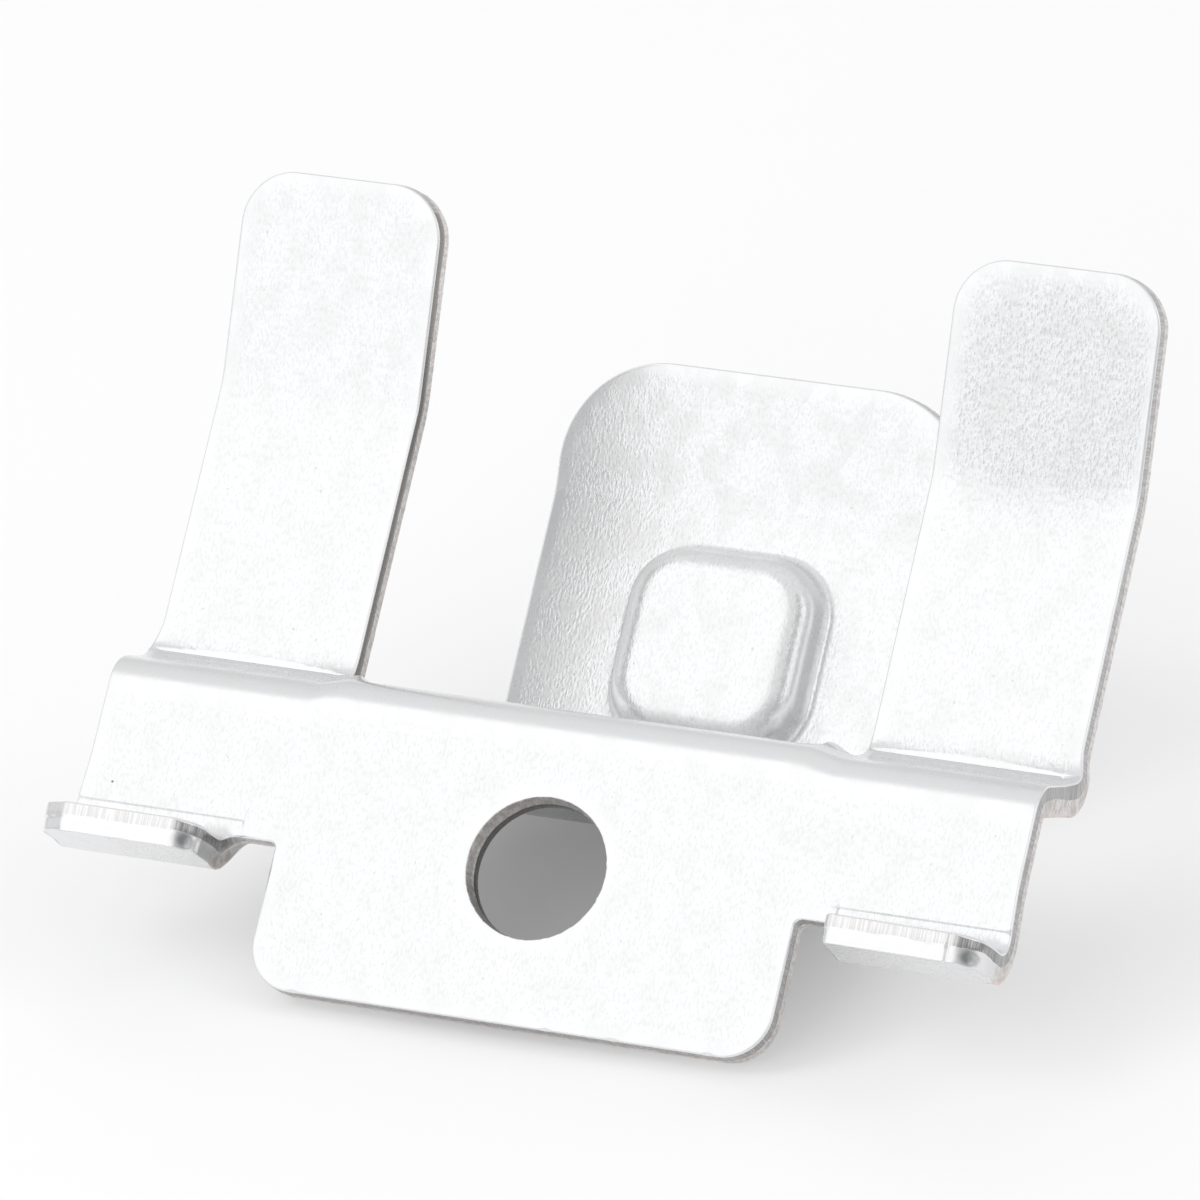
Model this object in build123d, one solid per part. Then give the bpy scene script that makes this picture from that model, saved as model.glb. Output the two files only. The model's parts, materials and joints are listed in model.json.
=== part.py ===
from build123d import *
import math
import os

# Stamped and folded sheet-metal bracket, one piece. Millimetres.
# It is drawn upright: X across, Z up the front plate, the plate's face on y = 0
# looking along -Y, screw hole centred on the origin. Last it is tipped back
# into the pose it rests in.

# ---- sheet ----
sheet = 1.2
hole_dia = 5.3

# ---- front plate, lower tab and the reliefs beside it ----
plate_width = 37.2
ridge_height = 6.35            # top of the ridge above the hole, between the arms
tab_width = 20.8
tab_drop = 6.0                 # lower edge of the tab below the hole
tab_corner = 1.8
relief_width = 1.8
relief_top = -0.45             # height of the reliefs' upper edge

# ---- feet, folded forward under the wings ----
foot_reach = 2.95
foot_top = -0.7
foot_side_straight = 0.25      # straight part of the foot's sides, before they round inwards
foot_side_round = 3.5
foot_bend_inside = 0.5

# ---- ridge bend, shared by web and arms ----
ridge_inside = 0.2
ridge_outside = 1.1

# ---- arms, joggled up out of the ridge ----
arm_setback = 3.6              # arm face behind plate face
arm_rise = 17.4                # climb of the short web towards the arm, degrees
arm_web_height = 5.77          # where the climbing web would meet the plate face
arm_valley_inside = 0.3
arm_valley_outside = 1.8
arm_kink_height = 17.9
arm_upper = 8.25               # length above the kink
arm_corner = 2.1

# ---- centre web and clip ----
clip_setback = 14.0            # clip face behind plate face
clip_width = 17.0
clip_bend_inside = 0.5
clip_kink_height = 18.3
clip_upper = 5.3
clip_corner = 4.3

# ---- kinks of arms and clip ----
kink_angle = 16.5
kink_inside = 3.0

# ---- slots between arms and clip ----
slot_start = 2.1               # front end of the slots behind plate face
swell_width = 1.8              # strip of ridge that swells up beside each arm
swell_rise = 25.0
swell_web_height = 5.85

# ---- rounded-square emboss on the clip ----
emboss_size = 7.8
emboss_height = 2.0
emboss_draft = 8.0             # slope of its walls, degrees from the press direction
emboss_corner = 2.4
emboss_wall = 0.95             # the drawn wall is thinner than the sheet
emboss_gap = 1.7               # flat left between the clip's bend and the emboss
emboss_foot_round = 0.4
emboss_top_round = 1.1
hollow_floor_round = 0.5
hollow_mouth_round = 0.6

# ---- dependent sizes ----
half_width = plate_width / 2
half_tab = tab_width / 2
half_clip = clip_width / 2
foot_inner = half_tab + relief_width
swell_inner = half_tab - swell_width
skirt = ridge_height - 2 * sheet   # height at which plate outline and folded strips meet
rise = math.tan(math.radians(arm_rise))
kink = math.radians(kink_angle)


def offset_back(points, distance):
    """Same open path moved to its right-hand side by the sheet thickness."""
    moved = []
    for i, (y, z) in enumerate(points):
        normals = []
        for j in (i - 1, i):
            if 0 <= j < len(points) - 1:
                dy = points[j + 1][0] - points[j][0]
                dz = points[j + 1][1] - points[j][1]
                length = math.hypot(dy, dz)
                normals.append((dz / length, -dy / length))
        ny = sum(n[0] for n in normals)
        nz = sum(n[1] for n in normals)
        k = distance * len(normals) / (ny * ny + nz * nz)
        moved.append((y + ny * k, z + nz * k))
    return moved


def strip_face(points, bends):
    """Side view of a folded strip: its face path, thickened, with bend radii.

    bends lists (radius on the face, radius on the back) for each inner point.
    """
    back = offset_back(points, sheet)
    face = make_face(Polyline(*(points + back[::-1]), close=True))
    for i, radii in enumerate(bends, start=1):
        for corner, radius in zip((points[i], back[i]), radii):
            at = Vector(corner[0], corner[1])
            vertex = min(face.vertices(), key=lambda v: (Vector(v) - at).length)
            face = fillet(vertex, radius)
    return face


def strip(points, bends, x_from, x_to):
    """Folded strip between two X positions."""
    section = Plane.YZ.offset(x_from) * strip_face(points, bends)
    return extrude(section, amount=x_to - x_from)


def both_sides(shape):
    return [shape, mirror(shape, about=Plane.YZ)]


def tip_point(start, length):
    """End of a segment that leans forward by the kink angle."""
    return (start[0] - length * math.sin(kink), start[1] + length * math.cos(kink))


# ---- front plate: one blank outline, wings and lower tab ----
outline = Polyline(
    (-half_width, skirt), (-half_width, 0), (-foot_inner, 0), (-foot_inner, relief_top),
    (-half_tab, relief_top), (-half_tab, -tab_drop), (half_tab, -tab_drop),
    (half_tab, relief_top), (foot_inner, relief_top), (foot_inner, 0),
    (half_width, 0), (half_width, skirt), close=True)
blank = make_face(outline)
tab_corners = blank.vertices().group_by(Axis.Y)[0]
blank = fillet(tab_corners, tab_corner)
plate = extrude(Plane.XZ * blank, amount=-sheet)

# ---- feet: folded forward, sides rounding in towards a straight front edge ----
foot_path = [(-foot_reach, foot_top), (0, foot_top), (0, skirt)]
foot_bend = [(foot_bend_inside, foot_bend_inside + sheet)]
foot = strip(foot_path, foot_bend, foot_inner, half_width)
side_run = foot_reach - foot_side_straight
side_turn = math.asin(side_run / foot_side_round)
front_inset = foot_side_round * (1 - math.cos(side_turn))
mid_inset = foot_side_round * (1 - math.cos(side_turn / 2))
mid_run = foot_side_straight + foot_side_round * math.sin(side_turn / 2)
front_inner = (foot_inner + front_inset, -foot_reach)
front_outer = (half_width - front_inset, -foot_reach)
foot_plan = make_face([
    Line((foot_inner, sheet), (foot_inner, -foot_side_straight)),
    ThreePointArc((foot_inner, -foot_side_straight), (foot_inner + mid_inset, -mid_run), front_inner),
    Line(front_inner, front_outer),
    ThreePointArc(front_outer, (half_width - mid_inset, -mid_run), (half_width, -foot_side_straight)),
    Line((half_width, -foot_side_straight), (half_width, sheet)),
    Line((half_width, sheet), (foot_inner, sheet))])
foot = foot & extrude(Pos(Z=foot_top - sheet) * foot_plan, amount=skirt - foot_top + sheet)
feet = both_sides(foot)

# ---- arms: ridge, short climbing web, arm, kink ----
ridge_bend = (ridge_outside, ridge_inside)
arm_kink = (arm_setback, arm_kink_height)
arm_path = [(0, skirt), (0, arm_web_height),
            (arm_setback, arm_web_height + rise * arm_setback),
            arm_kink, tip_point(arm_kink, arm_upper)]
kink_bend = (kink_inside, kink_inside + sheet)
arm = strip(arm_path, [ridge_bend, (arm_valley_inside, arm_valley_outside), kink_bend],
            half_tab, half_width)
arm_corners = arm.edges().filter_by(
    lambda e: abs(e.length - sheet) < 1e-3 and e.center().Z > arm_kink_height + arm_upper / 2)
arm = fillet(arm_corners, arm_corner)
arms = both_sides(arm)

# ---- centre web and clip ----
clip_kink = (clip_setback, clip_kink_height)
clip_path = [(0, skirt), (0, ridge_height), (clip_setback, ridge_height),
             clip_kink, tip_point(clip_kink, clip_upper)]
clip_bend = (clip_bend_inside, clip_bend_inside + sheet)
clip = strip(clip_path, [ridge_bend, clip_bend, kink_bend], -half_clip, half_clip)
clip_corners = clip.edges().filter_by(
    lambda e: abs(e.length - sheet) < 1e-3 and e.center().Z > clip_kink_height + clip_upper / 2)
clip = fillet(clip_corners, clip_corner)

# ---- ridge between clip and arms: level in the middle, swelling up beside each arm ----
def ridge_section(x, web_height, climb):
    """Plate top, ridge bend and a stub of web that ends at the slots."""
    slope = math.tan(math.radians(climb))
    path = [(0, skirt), (0, web_height), (slot_start, web_height + slope * slot_start)]
    return Plane.YZ.offset(x) * strip_face(path, [ridge_bend])


bridge = extrude(ridge_section(-swell_inner, ridge_height, 0), amount=2 * swell_inner)
swell = loft([ridge_section(swell_inner, ridge_height, 0),
              ridge_section(half_tab - swell_width / 2, swell_web_height, swell_rise),
              ridge_section(half_tab, arm_web_height, arm_rise)])
swells = both_sides(swell)

# ---- emboss: pressed forward out of the clip, hollow behind ----
draft = math.radians(emboss_draft)
emboss_centre = ridge_height + clip_bend_inside + emboss_gap + emboss_size / 2
hollow_inset = emboss_wall / math.cos(draft) - sheet * math.tan(draft)


def pressed(size, corner, face_y, edge_round):
    """Drafted rounded square standing forward of the plane y = face_y."""
    base = Plane((0, face_y, emboss_centre), x_dir=(1, 0, 0), z_dir=(0, -1, 0))
    block = extrude(base * RectangleRounded(size, size, corner), amount=emboss_height,
                    taper=emboss_draft)
    return fillet(block.faces().sort_by(Axis.Y)[0].edges(), edge_round)


def foot_edges(shape, face_y, size):
    """Edges of the emboss where it leaves the flat face at y = face_y."""
    reach = size / 2 + 0.1
    return shape.edges().filter_by(
        lambda e: abs(e.center().Y - face_y) < 1e-3 and abs(e.center().X) < reach
        and abs(e.center().Z - emboss_centre) < reach)


hollow_size = emboss_size - 2 * hollow_inset
back_y = clip_setback + sheet
clip = clip + pressed(emboss_size, emboss_corner, clip_setback, emboss_top_round)
clip = fillet(foot_edges(clip, clip_setback, emboss_size), emboss_foot_round)
clip = clip - pressed(hollow_size, emboss_corner - hollow_inset, back_y, hollow_floor_round)
clip = fillet(foot_edges(clip, back_y, hollow_size), hollow_mouth_round)

# ---- join everything, then the screw hole ----
bracket = plate
for piece in feet + arms + swells + [bridge, clip]:
    bracket = bracket + piece
bracket = bracket - Pos(0, sheet / 2, 0) * Rot(X=90) * Cylinder(hole_dia / 2, 4 * sheet)

# ---- tip back until the tab's rear edge and the clip's bend both stand on z = 0 ----
bend_radius = clip_bend_inside + sheet
bend_y = clip_setback + sheet - bend_radius
bend_z = ridge_height - sheet + bend_radius
reach_y = bend_y - sheet
reach_z = bend_z + tab_drop
lean = math.degrees(math.acos(bend_radius / math.hypot(reach_y, reach_z))
                    - math.atan2(reach_y, reach_z))
bracket = Rot(X=-lean) * bracket
box = bracket.bounding_box()
bracket = Pos(-box.center().X, -box.center().Y, -box.min.Z) * bracket

os.makedirs("parts", exist_ok=True)
export_step(bracket, "parts/bracket.step")
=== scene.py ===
import cmath
import json
import math

import bpy
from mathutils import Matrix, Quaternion, Vector, geometry, kdtree, noise


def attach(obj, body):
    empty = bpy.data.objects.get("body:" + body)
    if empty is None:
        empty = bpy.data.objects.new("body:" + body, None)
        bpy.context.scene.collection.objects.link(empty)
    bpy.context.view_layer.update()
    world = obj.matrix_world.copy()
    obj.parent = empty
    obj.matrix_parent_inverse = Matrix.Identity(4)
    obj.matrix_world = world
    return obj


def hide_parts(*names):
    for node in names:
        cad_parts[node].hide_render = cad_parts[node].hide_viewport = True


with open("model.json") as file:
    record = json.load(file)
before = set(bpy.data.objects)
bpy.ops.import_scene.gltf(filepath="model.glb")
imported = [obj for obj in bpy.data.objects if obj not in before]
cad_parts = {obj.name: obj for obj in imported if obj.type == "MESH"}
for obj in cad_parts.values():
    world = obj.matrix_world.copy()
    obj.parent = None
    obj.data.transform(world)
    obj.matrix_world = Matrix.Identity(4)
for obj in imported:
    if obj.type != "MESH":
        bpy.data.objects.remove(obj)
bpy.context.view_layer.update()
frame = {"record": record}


# ---- bracket -----------------------------------------------------------------
# One piece of 1.2 mm hot-dip galvanised sheet: blanked and pierced flat, the clip
# embossed, then feet, arms and clip folded. Its cut edges are bare steel, a smooth
# sheared band beside the face and a rougher torn band behind it.
# Sizes are in millimetres. A place on the flat blank is x across and s along the
# strip, with s = 0 at the height of the screw hole. In the side view a point is
# y + 1j * z, y towards the back and z up the plate.
MM = 0.001
screw_hole = next(m for m in frame["record"]["mounts"] if m["name"] == "screw_hole")
SHEET, HOLE_RADIUS = screw_hole["dims"]["length_mm"], screw_hole["dims"]["r_mm"]
plate_faces = Vector(screw_hole["axis"])             # the way the plate's face looks at rest
LEAN = math.atan2(plate_faces.z, -plate_faces.y)     # how far the plate leans back at rest
# Centre of the hole on the plate's face; the frame gives the middle of the sheet.
HOLE_AT = Vector(screw_hole["pos_m"]) / MM + plate_faces * SHEET / 2

HALF_WIDTH = 18.6
HALF_TAB = 10.4
HALF_CLIP = 8.5
TAB_DROP = 6.0
TAB_CORNER = 1.8
RELIEF_TOP = -0.45
RELIEF_SIDE = 12.4                           # where a foot's inner side starts
FOOT_ZONE = 11.9                             # low on the blank, a foot lies outside this
SHARP = 0.28                                 # corner radius left by a worn die
FOOT_HEIGHT = -0.7
RIDGE_BEND = (1.35, 0.2)                     # radius on the face, radius on the back
FOOT_BEND = (0.5, 1.7)
CLIP_BEND = (0.5, 1.7)
VALLEY_BEND = (0.6, 1.8)
KINK_BEND = (3.0, 4.2)
KINK = math.radians(16.5)
RIDGE_HEIGHT = 6.41
ARM_WEB_HEIGHT, ARM_CLIMB = 5.79, 17.2       # where the arm's web meets the plate, and its slope
SWELL_WEB_HEIGHT, SWELL_CLIMB = 5.91, 25.0   # the same, halfway across the ridge's swelling
SWELL_START = 8.6                            # the swelling runs from here out to the tab's side
SLOT_DEPTH = 2.1                             # slots end this far behind the plate's face
SLOT_CORNER = 0.5
ARM_SETBACK, ARM_KINK_HEIGHT, ARM_UPPER, ARM_CORNER = 3.6, 17.9, 8.25, 2.1
CLIP_SETBACK, CLIP_KINK_HEIGHT, CLIP_UPPER, CLIP_CORNER = 14.0, 18.3, 5.3, 4.3


def smooth(share):
    """Eased step: 0 up to a share of 0, 1 from a share of 1."""
    share = min(1.0, max(0.0, share))
    return share * share * (3 - 2 * share)


def bend_run(start, heading, lead, radius, turn, share):
    """Point at a share of the way through a bend: a straight lead, an arc, a lead."""
    way = share * (2 * lead + radius * abs(turn))
    if way <= lead:
        return start + heading * way
    side = math.copysign(1, turn) * 1j
    centre = start + heading * (lead + side * radius)
    swing = min((way - lead) / radius, abs(turn))
    on_arc = centre - side * heading * radius * cmath.exp(side * swing)
    return on_arc + heading * cmath.exp(1j * turn) * max(0.0, way - lead - radius * abs(turn))


class Fold:
    """Side view of a folded strip, given by the corners of its face and a pair of radii
    for each bend. at(s) gives the face and the back point at s along the face."""

    def __init__(self, corners, bends):
        self.parts, self.bends = [], []
        start, s = corners[0], 0.0
        for i, (face_radius, back_radius) in enumerate(bends, 1):
            before, after = corners[i] - corners[i - 1], corners[i + 1] - corners[i]
            heading, turn = before / abs(before), cmath.phase(after / before)
            slope = math.tan(abs(turn) / 2)
            face_reach = face_radius * slope
            back_reach = (back_radius - math.copysign(SHEET, turn)) * slope
            reach = max(face_reach, back_reach)
            length = abs(corners[i] - start) - reach
            self.parts.append((s, length, start, heading, None))
            s += length
            face_bend = (corners[i] - heading * reach, heading, reach - face_reach, face_radius, turn)
            back_bend = (face_bend[0] - 1j * heading * SHEET, heading, reach - back_reach,
                         back_radius, turn)
            length = 2 * (reach - face_reach) + face_radius * abs(turn)
            self.parts.append((s, length, None, None, (face_bend, back_bend)))
            self.bends.append((s, s + length))
            s += length
            start = corners[i] + after / abs(after) * reach
        length = abs(corners[-1] - start)
        self.parts.append((s, length, start, (corners[-1] - start) / length, None))
        self.end = s + length
        self.zero = 0.0

    def set_zero(self, part):
        """Makes s equal to the height z along that straight part."""
        self.zero = self.parts[part][2].imag - self.parts[part][0]
        self.bends = [(a + self.zero, b + self.zero) for a, b in self.bends]
        self.end += self.zero
        return self

    def at(self, s):
        s -= self.zero
        part = self.parts[0]
        for p in self.parts[1:]:
            if s < p[0]:
                break
            part = p
        if part[4] is None:
            face = part[2] + part[3] * (s - part[0])
            return face, face - 1j * part[3] * SHEET
        share = min(1.0, (s - part[0]) / part[1])
        return tuple(bend_run(*run, share) for run in part[4])


def strip_fold(web_height, climb, setback, bends, kink_height, upper):
    """Plate, ridge bend, web, second bend, upright and leaning tip."""
    rise = math.tan(math.radians(climb))
    kink = setback + 1j * kink_height
    return Fold([-1j * TAB_DROP, 1j * web_height, setback + 1j * (web_height + rise * setback),
                 kink, kink + upper * 1j * cmath.exp(1j * KINK)], bends).set_zero(0)


clip_fold = strip_fold(RIDGE_HEIGHT, 0.0, CLIP_SETBACK, [RIDGE_BEND, CLIP_BEND, KINK_BEND],
                       CLIP_KINK_HEIGHT, CLIP_UPPER)
arm_fold = strip_fold(ARM_WEB_HEIGHT, ARM_CLIMB, ARM_SETBACK, [RIDGE_BEND, VALLEY_BEND, KINK_BEND],
                      ARM_KINK_HEIGHT, ARM_UPPER)
foot_fold = Fold([-8.0 + 1j * FOOT_HEIGHT, 1j * FOOT_HEIGHT, 3j], [FOOT_BEND]).set_zero(2)
web_bend = clip_fold.bends[0][1]
slot_s = web_bend + SLOT_DEPTH - clip_fold.at(web_bend)[0].real
foot_line = foot_fold.bends[0][0] - foot_fold.at(foot_fold.bends[0][0])[0].real
FOOT_CURVE_START = (-13.57, 17.36)           # x where the left and right foot's round end starts
FOOT_THINNED = 0.07                          # share of its thickness that the press took off


def foot_s(forward):
    """s of a point on a foot that lies this far in front of the plate's face."""
    return foot_line - forward


stub_folds = {}     # kept by distance from the middle, since each is asked for often


def stub_fold(across):
    """Ridge bend and stub of web beside a slot, where the ridge swells up to the arm."""
    key = round(across, 3)
    if key not in stub_folds:
        share = (across - SWELL_START) / (HALF_TAB - SWELL_START)
        low, high, t = (((RIDGE_HEIGHT, 0.0), (SWELL_WEB_HEIGHT, SWELL_CLIMB), 2 * share)
                        if share < 0.5 else
                        ((SWELL_WEB_HEIGHT, SWELL_CLIMB), (ARM_WEB_HEIGHT, ARM_CLIMB), 2 * share - 1))
        height, climb = (a + (b - a) * smooth(t) for a, b in zip(low, high))
        rise = math.tan(math.radians(climb))
        stub_folds[key] = Fold([-1j * TAB_DROP, 1j * height, 4 + 1j * (height + 4 * rise)],
                               [RIDGE_BEND]).set_zero(0)
    return stub_folds[key]


def strip_at(x, s):
    """Face and back point of the folded strip at a place on the blank."""
    across = abs(x)
    if across <= SWELL_START:
        return clip_fold.at(s)
    if across < HALF_TAB and s < slot_s + 0.1:
        return stub_fold(across).at(s)
    if s > foot_fold.bends[0][1] or across < FOOT_ZONE:
        return arm_fold.at(s)
    share = smooth((across - FOOT_ZONE) / (RELIEF_SIDE - FOOT_ZONE))
    return tuple(a + (b - a) * share for a, b in zip(arm_fold.at(s), foot_fold.at(s)))


# The emboss is drawn forward out of the clip, with thinner walls, and is hollow behind.
# Its profiles give a height for each inset from the outline of its foot.
EMBOSS_HALF, EMBOSS_CORNER, EMBOSS_HEIGHT = 3.96, 2.4, 2.0
EMBOSS_SHIFT = -0.2                          # x of its middle
EMBOSS_GAP = 1.7                             # flat left between the clip's bend and the emboss
DRAFT = math.tan(math.radians(8.0)) * EMBOSS_HEIGHT
HOLLOW_INSET = 0.79                          # the hollow is this much smaller on each side
emboss_height_up = RIDGE_HEIGHT + CLIP_BEND[0] + EMBOSS_GAP + EMBOSS_HALF
clip_upright = clip_fold.bends[1][1]
EMBOSS_S = clip_upright + emboss_height_up - clip_fold.at(clip_upright)[0].imag


def rounded(nodes, step, closed=True):
    """Points along a line through nodes (x, y, corner radius), about a step apart."""
    n, points = len(nodes), []
    for i, (x, y, radius) in enumerate(nodes):
        here = x + 1j * y
        if not closed and i in (0, n - 1):
            arc = [here]
        else:
            before = here - complex(*nodes[i - 1][:2])
            after = complex(*nodes[(i + 1) % n][:2]) - here
            turn = cmath.phase(after / before)
            if radius and abs(turn) > 1e-3:
                heading, lead = before / abs(before), radius * math.tan(abs(turn) / 2)
                cuts = max(3, math.ceil(radius * abs(turn) / step))
                arc = [bend_run(here - heading * lead, heading, 0.0, radius, turn, k / cuts)
                       for k in range(cuts + 1)]
            else:
                arc = [here]
        if points:
            points += between(points[-1], arc[0], step)
        points += arc
    if closed:
        points += between(points[-1], points[0], step)
    return points


def between(a, b, step):
    """Points inside the straight run from a to b, at most a step apart."""
    cuts = max(1, math.ceil(abs(b - a) / step))
    return [a + (b - a) * k / cuts for k in range(1, cuts)]


PROFILE_STEP = 0.11
front_profile = rounded([(-0.6, 0, 0), (0, 0, 0.4), (DRAFT, EMBOSS_HEIGHT, 1.1),
                         (2.0, EMBOSS_HEIGHT, 0)], PROFILE_STEP, closed=False)[2:-3]
back_profile = rounded([(-0.9, 0, 0), (0, 0, 0.6), (DRAFT, EMBOSS_HEIGHT, 0.5),
                        (1.5, EMBOSS_HEIGHT, 0)], PROFILE_STEP, closed=False)[2:-3]


def emboss_loop(inset):
    """Rounded square that many millimetres inside the emboss's outline."""
    flat, radius = EMBOSS_HALF - EMBOSS_CORNER, EMBOSS_CORNER - inset
    loop = []
    for quarter in range(4):
        turn = 1j ** quarter
        corner = flat * (1 - 1j) * turn
        loop += [corner + radius * turn * cmath.exp(1j * math.radians(a)) for a in range(-90, 1, 9)]
        loop += between(corner + radius * turn, flat * (1 + 1j) * turn + radius * turn, 0.25)
    return [EMBOSS_SHIFT + 1j * EMBOSS_S + p for p in loop]


# Marks of the tools on the face. The pad that folded the feet sank a shallow step into
# each wing. PAD_SIDE is its inner side on the left and on the right.
PAD_TOP, PAD_SIDE, PAD_DEPTH, PAD_EDGE = 0.19, (11.87, 11.93), 0.05, 0.02

# The kinks of arms and clip show the line of the die's edge: from x to x, at s, slope.
DIE_LINES = [(-HALF_WIDTH, -HALF_TAB, arm_fold.bends[2][0] + 0.18, 0.047),
             (HALF_TAB, HALF_WIDTH, arm_fold.bends[2][0] + 0.3, -0.030),
             (-HALF_CLIP, HALF_CLIP, clip_fold.bends[2][0] + 0.25, -0.008)]
DIE_LINE_HALF, DIE_LINE_DEPTH = 0.07, 0.012

# Each arm curls forward to its foot, and there the die's nose pressed a flat, polished
# lens into it, partly out of the round of the valley.
LENSES = [(-18.51, -10.9), (10.43, 18.27)]   # x of each lens's two tips
LENS_HEIGHT = 0.46
LENS_DROP = 0.45                             # its foot is this far down into the valley
VALLEY_ROUND = 0.88                          # radius of the valley's upper part along the face
CURL, CURL_RISE = 0.21, 1.2
WAVE = 0.012                                 # how far the flat sheet wanders
valley_start, valley_end = arm_fold.bends[1]
lens_foot = valley_end - LENS_DROP


def curl_at(s):
    """How far the arm's foot stands forward of the plain fold."""
    rise = min(1.0, max(0.0, (lens_foot + CURL_RISE - s) / CURL_RISE))
    return CURL * rise ** 2 * smooth((s - valley_start + 1.0) / (valley_end - valley_start + 1.0))


def lens_top(lens, x):
    """s of the lens's upper rim."""
    share = (x - lens[0]) / (lens[1] - lens[0])
    return lens_foot + LENS_HEIGHT * math.sqrt(max(0.0, 4 * share * (1 - share)))


def die_line_s(line, x):
    """s of a die line at x."""
    left, right, s, slope = line
    return (s + slope * (x - (left + right) / 2)
            + 0.03 * noise.noise(Vector((x * 0.9, s, 3.0))))


def face_press(x, s):
    """How far the face stands forward of the plain strip, from tool marks and slight waviness."""
    wave = WAVE * noise.noise(Vector((x * 0.22, s * 0.22, 7.0)))
    side = PAD_SIDE[x > 0]
    inside = min(abs(x) - side, PAD_TOP - s)
    if inside > -PAD_EDGE and s < 1:
        fade = smooth((s + 1.0) / 0.9)
        wave -= PAD_DEPTH * smooth(inside / (2 * PAD_EDGE) + 0.5) * fade
    if abs(x) > HALF_TAB:
        curl = curl_at(s)
        for lens in LENSES:
            if lens[0] < x < lens[1] and s < lens_top(lens, x):
                share = smooth((s - lens_foot) / (2 * PAD_EDGE) + 0.5)
                valley_rise = max(0.0, valley_end - s) ** 2 / (2 * VALLEY_ROUND)
                curl += (curl_at(lens_top(lens, x)) - valley_rise - curl) * share
        wave += curl
    for line in DIE_LINES:
        if line[0] <= x <= line[1] and abs(s - line[2]) < 1:
            off = abs(s - die_line_s(line, x)) / DIE_LINE_HALF
            if off < 1:
                depth = DIE_LINE_DEPTH * (1 + noise.noise(Vector((x * 0.8, 5.0, line[2]))))
                wave -= max(0.0, depth) * (1 - off) ** 2
    return wave


VALLEY_BULGE, FOOT_BULGE, BULGE_WIDTH = 0.22, 0.11, 1.2


def fold_bulge(x, s):
    """How far the folds squeezed the sheet out sideways at the outer edges."""
    near_edge = smooth((abs(x) - HALF_WIDTH + BULGE_WIDTH) / BULGE_WIDTH)
    at_valley = VALLEY_BULGE * smooth(1 - abs(s - (valley_start + valley_end) / 2) / 1.4)
    at_foot = FOOT_BULGE * smooth(1 - abs(s + 0.3) / 2.6)
    return math.copysign(near_edge * (at_valley + at_foot), x)


def place(x, s, depth=0.0, lift=0.0):
    """Point in the row frame, in metres, at a depth below the face and lifted off it."""
    face, back = strip_at(x, s)
    outward = (face - back) / abs(face - back)
    press = face_press(x, s) * max(0.0, 1 - depth / (0.5 * SHEET))
    if abs(x) > FOOT_ZONE:
        depth *= 1 - FOOT_THINNED * smooth((foot_line - s - 0.2) / 0.8)
    x += fold_bulge(x, s)
    p = face + (back - face) * depth / SHEET + outward * (lift + press)
    flat = Vector((x, p.real * math.cos(LEAN) + p.imag * math.sin(LEAN),
                   p.imag * math.cos(LEAN) - p.real * math.sin(LEAN)))
    return (flat + HOLE_AT) * MM


# Outline of the blank, with the material on its left, as nodes (x, s, corner radius).
# Nodes with no radius in a straight run only put points where a tool mark crosses the
# edge. The front of each foot ends in a line left by the punch, then in a round corner.
arm_top = arm_fold.end
clip_top = clip_fold.end
pad_nodes = [PAD_TOP - PAD_EDGE, PAD_TOP, PAD_TOP + PAD_EDGE]
left_line, right_line = FOOT_CURVE_START
outline = (
    [(-HALF_TAB, -TAB_DROP, TAB_CORNER), (HALF_TAB, -TAB_DROP, TAB_CORNER),
     (HALF_TAB, RELIEF_TOP, SHARP), (RELIEF_SIDE, RELIEF_TOP, SHARP),
     (RELIEF_SIDE + 0.12, foot_s(2.85), 0.35),
     (right_line - 0.035, foot_s(2.60), 0), (right_line, foot_s(2.60), 0),
     (right_line + 0.035, foot_s(2.598), 0), (HALF_WIDTH + 0.03, foot_s(2.53), 1.08)]
    + [(HALF_WIDTH, s, 0.0) for s in pad_nodes]
    + [(HALF_WIDTH, arm_top, ARM_CORNER), (HALF_TAB, arm_top, ARM_CORNER),
       (HALF_TAB, slot_s, SLOT_CORNER), (HALF_CLIP, slot_s, SLOT_CORNER),
       (HALF_CLIP, clip_top, CLIP_CORNER), (-HALF_CLIP, clip_top, CLIP_CORNER),
       (-HALF_CLIP, slot_s, SLOT_CORNER), (-HALF_TAB, slot_s, SLOT_CORNER),
       (-HALF_TAB, arm_top, ARM_CORNER), (-HALF_WIDTH, arm_top, ARM_CORNER)]
    + [(-HALF_WIDTH, s, 0.0) for s in reversed(pad_nodes)]
    + [(-HALF_WIDTH - 0.25, foot_s(2.3), 0.35), (-17.85, foot_s(2.86), 0.33),
       (left_line, foot_s(2.80), 0), (-RELIEF_SIDE - 0.06, foot_s(2.74), 1.0),
       (-RELIEF_SIDE, RELIEF_TOP, SHARP), (-HALF_TAB, RELIEF_TOP, SHARP)])
RIM_STEP, HOLE_STEPS = 0.14, 200
rims = [rounded(outline, RIM_STEP),
        [HOLE_RADIUS * cmath.exp(-2j * math.pi * k / HOLE_STEPS) for k in range(HOLE_STEPS)]]

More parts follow.
